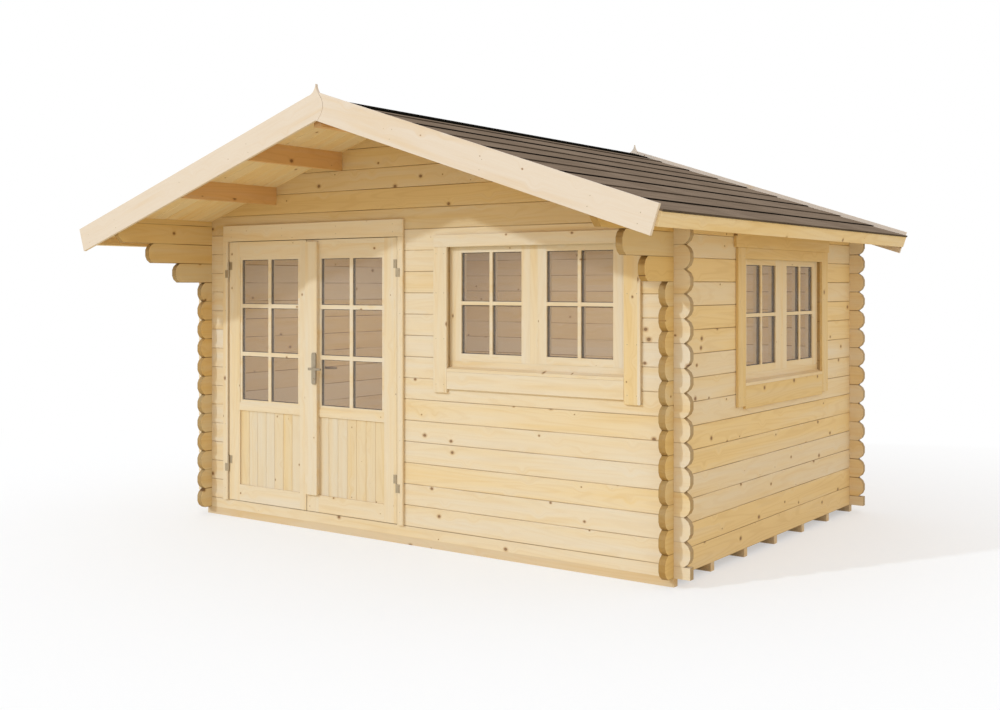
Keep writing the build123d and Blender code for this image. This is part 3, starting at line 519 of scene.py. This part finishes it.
looks = {
    "frontLogs": {"way": "x", "step": course, "start": frontStart, "seed": 3.0, "jointWidth": 0.003,
                  "golden": 0.28, "goldenBoards": (1, 3, 6), "goldenShare": 0.2, "spread": 0.3, "jointDark": 0.5,
                  "ends": 0},
    # painted shade: the gable under the roof is a darker, more golden copy of the front logs
    "frontGable": {"way": "x", "step": course, "start": frontStart, "seed": 3.0, "jointWidth": 0.003,
                   "golden": 0.85, "tint": (0.85, 0.82, 0.77, 1), "ends": 0},
    "backLogs": {**unevenLogs, "way": "x", "start": frontStart, "seed": 83.0, "ends": 0},
    "leftLogs": {**unevenLogs, "way": "y", "start": sideStart, "seed": 143.0, "ends": 1,
                 "cornerShadeTint": (0.93, 0.86, 0.66, 1)},
    "rightLogs": {"way": "y", "step": course, "start": sideStart, "seed": 203.0, "jointWidth": 0.003,
                  "golden": 0.5, "goldenBoards": (0, 1, 4, 5, 9, 10, 12, 14, 15), "spread": 0.3,
                  "ends": 1, "cornerShadeTint": (0.90, 0.84, 0.67, 1)},
    "bearers": {"way": "x", "step": 0.3, "start": 0.0, "seed": 11.0, "tint": (0.9, 0.84, 0.76, 1), "rough": 0.8},
    "floor": {"way": "yFlat", "step": 3.6438 / 30, "start": -1.8219, "seed": 301.0, "golden": 0.6},
    "beams": {"way": "y", "step": 0.4, "start": 0.2, "seed": 31.0, "golden": 1.0, "tint": (0.88, 0.72, 0.62, 1),
              "ends": 1},
    "leftRoofBoards": {**roofBoards, "way": "leftRoof", "seed": 401.0},
    "rightRoofBoards": {**roofBoards, "way": "rightRoof", "seed": 501.0},
    "frontLeftBarge": {**barge, "way": "leftSlope", "seed": 5.0},
    "frontRightBarge": {**barge, "way": "rightSlope", "seed": 6.0},
    "backLeftBarge": {**barge, "way": "leftSlope", "seed": 7.0},
    "backRightBarge": {**barge, "way": "rightSlope", "seed": 8.0},
    "fascias": {"way": "y", "step": 9.0, "start": -5.0, "seed": 9.0, "golden": 0.75, "spread": 0.0},
    "doorFrame": {"way": "x", "step": 9.0, "start": -5.0, "seed": 21.0, "stripWay": "z", "stripStep": 0.8,
                  "stripStart": -0.855, "strips": ((-1.7, -1.6), (-0.11, 0.0)), "stripHeights": (0.0, 1.9345)},
    "doorCasing": {"way": "x", "step": 9.0, "start": -5.0, "seed": 22.0, "stripWay": "z", "stripStep": 0.8,
                   "stripStart": -0.855, "strips": ((-1.75, -1.6), (-0.1, 0.0)), "stripHeights": (0.0, 1.9345),
                   "golden": 0.3, "spread": 0.1},
    "leftLeaf": {**leaf, "seed": 23.0, "strips": leafStrips["left"], "stripStart": leafStrips["left"][0][0]},
    "rightLeaf": {**leaf, "seed": 24.0, "strips": leafStrips["right"], "stripStart": leafStrips["right"][0][0]},
    "leftPanel": {**panel, "step": 0.5869 / 7, "start": -1.5227, "seed": 25.0},
    "rightPanel": {**panel, "step": 0.5739 / 7, "start": -0.7612, "seed": 26.0},
    "frontWindowFrame": {"way": "x", "step": 0.4, "start": 0.0, "seed": 41.0, "stripWay": "z", "stripStep": 0.5,
                         "stripStart": 0.0, "strips": ((0.0, 2.0),), "stripHeights": (1.166, 1.870), "knots": 0.7,
                         "golden": 0.3, "spread": 0.2},
    "frontSashes": {"way": "x", "step": 0.3, "start": 0.0, "seed": 42.0, "stripWay": "z", "stripStep": 0.25,
                    "stripStart": 0.1, "knots": 0.4, "golden": 0.3, "spread": 0.2,
                    "strips": ((0.33, 0.4115), (0.8555, 1.0325), (1.4765, 1.6))},
    "frontCasing": {"way": "x", "step": 0.45, "start": 0.0, "seed": 43.0, "stripWay": "z", "stripStep": 0.7,
                    "stripStart": 0.25, "strips": ((0.2, 0.324), (1.564, 1.7)), "stripHeights": (0.9, 1.860),
                    "golden": 0.25, "goldenBoards": (1,), "spread": 0.2},
    "rightWindowFrame": {"way": "y", "step": 0.4, "start": 0.0, "seed": 44.0, "stripWay": "zSide", "stripStep": 0.5,
                         "stripStart": 0.0, "strips": ((-0.5, 1.5),), "stripHeights": (1.092, 1.796), "knots": 0.6,
                         "golden": 0.55, "spread": 0.2},
    "rightSashes": {"way": "y", "step": 0.3, "start": 0.0, "seed": 45.0, "stripWay": "zSide", "stripStep": 0.25,
                    "stripStart": 0.1, "knots": 0.4, "golden": 0.5, "spread": 0.2,
                    "strips": ((-0.2, -0.0645), (0.3795, 0.5565), (1.0005, 1.1))},
    "rightCasing": {"way": "y", "step": 0.45, "start": 0.0, "seed": 46.0, "stripWay": "zSide", "stripStep": 0.7,
                    "stripStart": 0.0, "strips": ((-0.4, -0.152), (1.088, 1.3)), "stripHeights": (0.8, 1.851),
                    "golden": 0.95, "spread": 0.1, "tint": (0.93, 0.90, 0.82, 1)},
}
dressed = {
    "frontLogs": "front_sill_log front_wall_left front_wall_right",
    "frontGable": "front_gable",
    "backLogs": "back_wall back_gable",
    "leftLogs": "left_wall",
    "rightLogs": "right_wall",
    "bearers": "floor_bearers",
    "floor": "floor_boards",
    "beams": "ridge_beam purlins",
    "leftRoofBoards": "left_roof_boards",
    "rightRoofBoards": "right_roof_boards",
    "frontLeftBarge": "front_left_bargeboard",
    "frontRightBarge": "front_right_bargeboard",
    "backLeftBarge": "back_left_bargeboard",
    "backRightBarge": "back_right_bargeboard",
    "fascias": "eave_fascias",
    "doorFrame": "door_frame",
    "doorCasing": "door_casing",
    "leftLeaf": "left_door_leaf",
    "rightLeaf": "right_door_leaf",
    "leftPanel": "left_door_panel",
    "rightPanel": "right_door_panel",
    "frontWindowFrame": "front_window_frame",
    "frontSashes": "front_window_sashes",
    "frontCasing": "front_window_casing",
    "rightWindowFrame": "right_window_frame",
    "rightSashes": "right_window_sashes",
    "rightCasing": "right_window_casing",
}


def dress(nodeName, material):
    mesh = nodes[nodeName].data
    mesh.materials.clear()
    mesh.materials.append(material)


for lookName, nodeNames in dressed.items():
    material = pineMaterial(lookName, looks[lookName])
    for nodeName in nodeNames.split():
        dress(nodeName, material)
print("pine dressed")


# shingles
shingle = {
    "stone": (0.225, 0.165, 0.118, 1),
    "paler": (0.335, 0.255, 0.190, 1),
    "darker": (0.120, 0.088, 0.064, 1),
    "edge": (0.008, 0.007, 0.006, 1),
    "cap": (0.004, 0.004, 0.003, 1),
    "length": 2.332,  # from the ridge down the slope
    "courses": 9,
    "tab": 0.333,
    "lineWidth": (0.02, 0.03),  # the shadow line under a course, and what every second one adds
    "lineShare": (0.6, 0.35),
    "slit": 0.016,  # between two tabs, as a part of a tab
    "slitShare": 0.3,
    "feltDown": 0.19,  # the felt under the cap shows this far down the slope
    "feltFade": 0.01,
    "weatherScale": (2.5, 26.0),
    "weatherShare": 0.5,
    "gritScale": 420.0,
    "gritShare": 0.3,
    "capGritScale": 380.0,
    "rough": 0.9,
    "specular": 0.0,
    "bumpStrength": 0.6,
    "bumpDepth": 0.0015,
}


def stoneMatt(shader):
    shader.inputs["Roughness"].default_value = shingle["rough"]
    shader.inputs["Specular IOR Level"].default_value = shingle["specular"]


def everySecond(tree, row, pair):
    # the first number, and on every second course the other one on top
    odd = calc(tree, "MODULO", row, 2.0)
    return calc(tree, "ADD", pair[0], calc(tree, "MULTIPLY", odd, pair[1]))


def shingleMaterial(side):
    material, tree, shader = newMaterial("shingleStone" + ("Right" if side > 0 else "Left"))
    x, y, z = objectPlace(tree)
    down = slopeSockets(tree, x, calc(tree, "SUBTRACT", z, roof["ridge"]), side)[0]
    # the courses are counted up from just past the eave
    exposure = shingle["length"] / shingle["courses"]
    up = calc(tree, "DIVIDE", calc(tree, "SUBTRACT", shingle["length"] + 0.001, down), exposure)
    row = calc(tree, "FLOOR", up)
    tabs = calc(tree, "ADD", calc(tree, "DIVIDE", y, shingle["tab"]), calc(tree, "MULTIPLY", row, 0.5))
    chance = chanceNode(tree, "2D", "Vector", combine(tree, calc(tree, "FLOOR", tabs), row, 0.0))
    acrossScale, downScale = shingle["weatherScale"]
    weatherPlace = combine(tree, calc(tree, "MULTIPLY", y, acrossScale), calc(tree, "MULTIPLY", down, downScale), 0.0)
    weather = noise(tree, weatherPlace, 1.0, 4.0, 0.6)
    grit = noise(tree, combine(tree, y, down, 0.0), shingle["gritScale"], 2.0, 0.6)
    tone = rise(tree, chance.outputs["Value"], 0.0, 1.0, 0.1, 0.5)
    colour = blendColour(tree, tone, shingle["stone"], shingle["paler"])
    colour = layer(tree, colour, shingle["darker"], rise(tree, weather, 0.35, 0.75), shingle["weatherShare"])
    colour = layer(tree, colour, shingle["darker"], rise(tree, grit, 0.4, 0.7), shingle["gritShare"])
    # the shadow line under each course
    width = everySecond(tree, row, shingle["lineWidth"])
    line = calc(tree, "SUBTRACT", 1.0,
                rise(tree, calc(tree, "FRACT", up), calc(tree, "MULTIPLY", width, 0.6), width))
    colour = layer(tree, colour, shingle["edge"], line, everySecond(tree, row, shingle["lineShare"]))
    # the felt under the cap shows black along the ridge
    feltEnd = shingle["feltDown"]
    felt = calc(tree, "SUBTRACT", 1.0, rise(tree, down, feltEnd - shingle["feltFade"], feltEnd))
    colour = blendColour(tree, felt, colour, shingle["cap"])
    # the slits between the tabs
    middle = calc(tree, "ABSOLUTE", calc(tree, "SUBTRACT", calc(tree, "FRACT", tabs), 0.5))
    slit = calc(tree, "SUBTRACT", 1.0,
                rise(tree, calc(tree, "SUBTRACT", 0.5, middle), shingle["slit"] / 2, shingle["slit"]))
    colour = layer(tree, colour, shingle["edge"], slit, shingle["slitShare"])
    tree.links.new(colour, shader.inputs["Base Color"])
    stoneMatt(shader)
    addBump(tree, shader, grit, shingle["bumpStrength"], shingle["bumpDepth"])
    return material


def capMaterial():
    material, tree, shader = newMaterial("ridgeFelt")
    grit = noise(tree, combine(tree, *objectPlace(tree)), shingle["capGritScale"], 2.0, 0.6)
    colour = blendColour(tree, rise(tree, grit, 0.4, 0.8, 0.0, 0.2), shingle["cap"], shingle["darker"])
    tree.links.new(colour, shader.inputs["Base Color"])
    stoneMatt(shader)
    return material


dress("left_shingles", shingleMaterial(-1))
dress("right_shingles", shingleMaterial(1))
dress("ridge_cap", capMaterial())
print("roof dressed")


# glass and fittings
glass = {
    "reflectionColour": (0.50, 0.44, 0.40, 1),
    "reflectionShare": 0.16,  # painted reflection: this share of each pane is opaque in the colour above, standing in for what the glass reflects; the rest is clear
    "rough": 0.04,
    "bending": 1.45,
}
steel = {
    "handle": {"colour": (0.46, 0.38, 0.27, 1), "dull": (0.30, 0.24, 0.16, 1), "metal": 1.0},
    "hinge": {"colour": (0.48, 0.38, 0.25, 1), "dull": (0.34, 0.26, 0.16, 1), "metal": 0.6},
    "brushScale": (900.0, 900.0, 30.0),
    "rough": (0.36, 0.5),
}


def glassMaterial():
    material, tree, shader = newMaterial("clearPane")
    # painted reflection: an opaque share in this colour stands in for what the glass reflects
    shader.inputs["Base Color"].default_value = glass["reflectionColour"]
    shader.inputs["Roughness"].default_value = glass["rough"]
    shader.inputs["IOR"].default_value = glass["bending"]
    shader.inputs["Alpha"].default_value = glass["reflectionShare"]
    return material


def steelMaterial(name):
    tone = steel[name]
    material, tree, shader = newMaterial(name + "Steel")
    scaled = [calc(tree, "MULTIPLY", value, scale) for value, scale in zip(objectPlace(tree), steel["brushScale"])]
    brushed = noise(tree, combine(tree, *scaled), 1.0, 2.0)
    colour = blendColour(tree, rise(tree, brushed, 0.35, 0.7), tone["colour"], tone["dull"])
    tree.links.new(colour, shader.inputs["Base Color"])
    shader.inputs["Metallic"].default_value = tone["metal"]
    smoothest, dullest = steel["rough"]
    tree.links.new(rise(tree, brushed, 0.3, 0.7, smoothest, dullest), shader.inputs["Roughness"])
    return material


pane = glassMaterial()
for nodeName in ("left_door_glass", "right_door_glass", "front_window_glass", "right_window_glass"):
    dress(nodeName, pane)
handleSteel = steelMaterial("handle")
hingeSteel = steelMaterial("hinge")
for nodeName in ("handle_plates", "door_lever"):
    dress(nodeName, handleSteel)
for nodeName in ("door_hinges", "left_door_hinges", "right_door_hinges"):
    dress(nodeName, hingeSteel)
print("glass and fittings dressed")


# boards with eased edges stand for the sharp ones
easing = {
    "width": 0.0025,
    "bargeWidth": 0.006,
    "segments": 2,
    "flatAngle": 2,  # degrees: flatter edges are dissolved first
    "sharpAngle": 40,  # degrees: sharper edges are eased
    "boards": "front_left_bargeboard front_right_bargeboard back_left_bargeboard back_right_bargeboard "
              "door_casing front_window_casing right_window_casing",
}


def easeBoards(nodeName):
    source = nodes[nodeName]
    bm = bmesh.new()
    bm.from_mesh(source.data)
    bmesh.ops.remove_doubles(bm, verts=bm.verts, dist=0.0001)
    bmesh.ops.dissolve_limit(bm, angle_limit=math.radians(easing["flatAngle"]), verts=bm.verts, edges=bm.edges)
    least = math.radians(easing["sharpAngle"])
    sharp = [edge for edge in bm.edges if edge.is_manifold and edge.calc_face_angle() > least]
    width = easing["bargeWidth"] if "barge" in nodeName else easing["width"]
    bmesh.ops.bevel(bm, geom=sharp, offset=width, offset_type="OFFSET", affect="EDGES",
                    segments=easing["segments"], profile=0.5, material=-1, clamp_overlap=True)
    board = meshObject(nodeName + "_eased", bm, source.data.materials[0])
    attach(board, "house")
    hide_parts(nodeName)


for nodeName in easing["boards"].split():
    easeBoards(nodeName)
print("boards eased")


# painted shade: dark strips round every pane, on the room side of the glass, stand for the shade inside the sashes
# and behind the glazing bars
paneShade = {
    "width": 0.004,
    "depth": 0.014,
    "gap": 0.0003,  # off the glass
    "colour": (0.02, 0.012, 0.006, 1),
    "dustScale": 90.0,
    "rough": 0.8,
    "columns": 2,
    "doorEdge": 0.0207,  # from the glass's edge to the first opening
    "doorBar": 0.028,
    "doorRows": 3,
    "sashEdge": 0.008,
    "sashBar": 0.022,
    "sashRows": 2,
    "sashSpans": ((-0.5325, -0.0885), (0.0885, 0.5325)),  # the two sashes, from the window's middle
}


def paneShadeMaterial():
    material, tree, shader = newMaterial("paneShadeStrips")
    dust = noise(tree, combine(tree, *objectPlace(tree)), paneShade["dustScale"], 2.0)
    # painted shade: the strips are near-black, with a little dust mixed in
    colour = blendColour(tree, rise(tree, dust, 0.4, 0.8, 0.0, 0.2), paneShade["colour"], pine["knotEdge"])
    tree.links.new(colour, shader.inputs["Base Color"])
    shader.inputs["Roughness"].default_value = paneShade["rough"]
    return material


def addBlock(bm, low, high):
    middle = [(a + b) / 2 for a, b in zip(low, high)]
    size = [b - a for a, b in zip(low, high)]
    bmesh.ops.create_cube(bm, size=1.0, matrix=Matrix.Translation(middle) @ Matrix.Diagonal((*size, 1)))


def paneShadeRing(bm, across, up, inward, sideWall):
    # four strips inside one opening; across runs along the wall, inward into the room
    width = paneShade["width"]
    inner = (across[0] + width, across[1] - width)
    blocks = [
        ((across[0], inner[0]), up),
        ((inner[1], across[1]), up),
        (inner, (up[0], up[0] + width)),
        (inner, (up[1] - width, up[1])),
    ]
    for along, height in blocks:
        if sideWall:
            addBlock(bm, (inward[0], along[0], height[0]), (inward[1], along[1], height[1]))
        else:
            addBlock(bm, (along[0], inward[0], height[0]), (along[1], inward[1], height[1]))


def splitSpan(span, count, bar):
    # equal openings with bars between them
    size = (span[1] - span[0] - (count - 1) * bar) / count
    starts = [span[0] + number * (size + bar) for number in range(count)]
    return [(start, start + size) for start in starts]


def makePaneShades(glassName, body, spans, inset, rows, bar, sideWall):
    low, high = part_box(glassName)
    bm = bmesh.new()
    middle = (low[1] + high[1]) / 2 if sideWall else (low[0] + high[0]) / 2
    if sideWall:
        inward = (low[0] - paneShade["depth"], low[0] - paneShade["gap"])
    else:
        inward = (high[1] + paneShade["gap"], high[1] + paneShade["depth"])
    if not spans:
        spans = ((low[0] - middle + inset, high[0] - middle - inset),)
    for span in spans:
        for across in splitSpan((middle + span[0], middle + span[1]), paneShade["columns"], bar):
            for up in splitSpan((low[2] + inset, high[2] - inset), rows, bar):
                paneShadeRing(bm, across, up, inward, sideWall)
    piece = meshObject(glassName + "_pane_shade", bm, paneShadeSurface)
    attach(piece, body)


paneShadeSurface = paneShadeMaterial()
for side in ("left", "right"):
    makePaneShades(side + "_door_glass", side + "_door", (), paneShade["doorEdge"], paneShade["doorRows"], paneShade["doorBar"], False)
for glassName, sideWall in (("front_window_glass", False), ("right_window_glass", True)):
    makePaneShades(glassName, "house", paneShade["sashSpans"], paneShade["sashEdge"], paneShade["sashRows"], paneShade["sashBar"], sideWall)
print("panes sealed")


# nails, screws and the lock cylinder
fixing = {
    "sides": 12,
    "taper": 0.7,
    "nail": (0.0028, 0.0003),  # radius and height
    "screw": (0.0032, 0.0012),
    "bargeFace": 1.860,
    "bargeAcross": (0.58, 1.19, 1.8425, 2.12),  # out from the ridge, one for each beam
    "bargeOut": (-0.015, -0.07),  # square to the slope
    "casingFace": -1.0583,
    "doorSides": ((-1.661, -0.049), (0.20, 0.65, 1.05, 1.45, 1.85)),  # the places along the wall, then the heights
    "doorHead": ((-1.60, -1.10, -0.60, -0.11), (1.965, 2.015)),
    "frontSides": ((0.272, 1.616), (1.02, 1.30, 1.58, 1.82)),
    "rightCasingFace": 1.8808,
    "rightSides": ((-0.204, 1.140), (0.96, 1.25, 1.53, 1.80)),
    "pair": (-0.03, 0.03),
}
hinge = {
    "middles": (0.375, 1.735),
    "frameFace": -1.0606,
    "framePlates": (-1.650, -0.060),
    "frameLow": -0.055,  # the plate's lower end, from the hinge's middle
    "leafFace": -1.0503,
    "leafPlates": (("left_door", -1.611), ("right_door", -0.099)),
    "leafLow": 0.0005,
    "screwsUp": (0.013, 0.040),  # from the plate's lower end
}
lock = {
    "spindle": (-0.7825, 1.075),
    "faces": ((-1.0763, (0, -1, 0)), (-0.9997, (0, 1, 0))),  # the outer and the inner plate
    "cylinder": (0.0085, 0.003),  # radius and height
    "cylinderDrop": 0.072,
    "screwsUp": (-0.097, 0.097),
}


def addHead(bm, place, facing, radius, height):
    # a low tapered head at a place, looking along facing
    turn = Vector(facing).to_track_quat("Z", "Y").to_matrix().to_4x4()
    move = Matrix.Translation(Vector(place) + Vector(facing) * height / 2)
    bmesh.ops.create_cone(bm, cap_ends=True, segments=fixing["sides"], radius1=radius,
                          radius2=radius * fixing["taper"], depth=height, matrix=move @ turn)


def makeHeads(name, heads, body, material):
    bm = bmesh.new()
    for head in heads:
        addHead(bm, *head)
    piece = meshObject(name, bm, material)
    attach(piece, body)


def bargeNails():
    # two nails in each bargeboard over every beam
    pitch = roof["pitch"]
    places = []
    for across in fixing["bargeAcross"]:
        for out in fixing["bargeOut"]:
            down = across / math.cos(pitch)
            x = down * math.cos(pitch) + out * math.sin(pitch)
            z = roof["ridge"] - down * math.sin(pitch) + out * math.cos(pitch)
            for side in (-1, 1):
                places.append(((side * x, -fixing["bargeFace"], z), (0, -1, 0)))
                places.append(((side * x, fixing["bargeFace"], z), (0, 1, 0)))
    return places


def casingNails(grid, steps, sideWall):
    # nails in upright boards, at every height of the grid
    places = []
    for along in grid[0]:
        for z in grid[1]:
            for step in steps:
                if sideWall:
                    places.append(((fixing["rightCasingFace"], along + step, z), (1, 0, 0)))
                else:
                    places.append(((along + step, fixing["casingFace"], z), (0, -1, 0)))
    return places


def screwPlaces(plateX, face, plateLow):
    places = []
    for middle in hinge["middles"]:
        for up in hinge["screwsUp"]:
            places.append(((plateX, face, middle + plateLow + up), (0, -1, 0)))
    return places


nailPlaces = [
    *bargeNails(),
    *casingNails(fixing["doorSides"], (0.0,), False),
    *casingNails(fixing["doorHead"], (0.0,), False),
    *casingNails(fixing["frontSides"], fixing["pair"], False),
    *casingNails(fixing["rightSides"], fixing["pair"], True),
]
makeHeads("nail_heads", [(*place, *fixing["nail"]) for place in nailPlaces], "house", hingeSteel)
frameScrews = [(*place, *fixing["screw"]) for x in hinge["framePlates"]
               for place in screwPlaces(x, hinge["frameFace"], hinge["frameLow"])]
makeHeads("frame_hinge_screws", frameScrews, "house", handleSteel)
for body, x in hinge["leafPlates"]:
    leafScrews = [(*place, *fixing["screw"]) for place in screwPlaces(x, hinge["leafFace"], hinge["leafLow"])]
    makeHeads(body + "_hinge_screws", leafScrews, body, handleSteel)
spindleX, spindleUp = lock["spindle"]
lockHeads = []
for face, facing in lock["faces"]:
    lockHeads.append(((spindleX, face, spindleUp - lock["cylinderDrop"]), facing, *lock["cylinder"]))
    for up in lock["screwsUp"]:
        lockHeads.append(((spindleX, face, spindleUp + up), facing, *fixing["screw"]))
makeHeads("lock_cylinder", lockHeads, "right_door", hingeSteel)
print("fixings made")


bpy.context.scene.view_settings.view_transform = "Standard"
print("scene ready")
